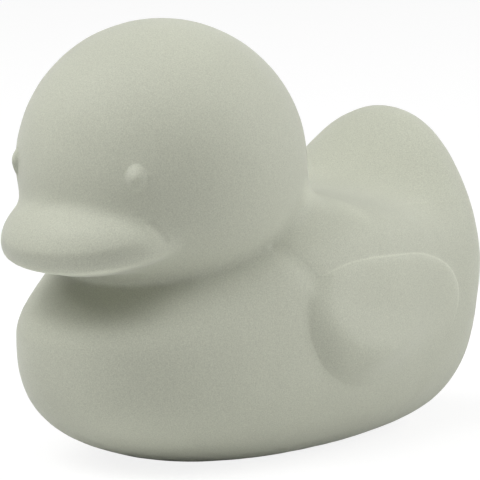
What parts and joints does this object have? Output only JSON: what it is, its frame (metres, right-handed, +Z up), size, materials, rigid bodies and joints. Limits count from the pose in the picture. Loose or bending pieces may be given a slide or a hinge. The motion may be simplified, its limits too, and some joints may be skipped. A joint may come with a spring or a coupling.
{
  "type": "rubber duck",
  "caption": "One-piece moulded soft rubber bath duck with a round head, broad bill, raised wing pads and an upturned tail, resting on a small flat sole.",
  "frame": {"origin": "on the sole, under the middle of the duck's length and width", "axes": "-Y is the way the duck faces, +X is its left side, +Z is up"},
  "size_m": [0.0624, 0.1014, 0.0786],
  "materials": {
    "rubber": "matte powdery natural rubber in one pale sage grey"
  },
  "bodies": {
    "root": {"duck_body": "rubber"}
  },
  "joints": []
}
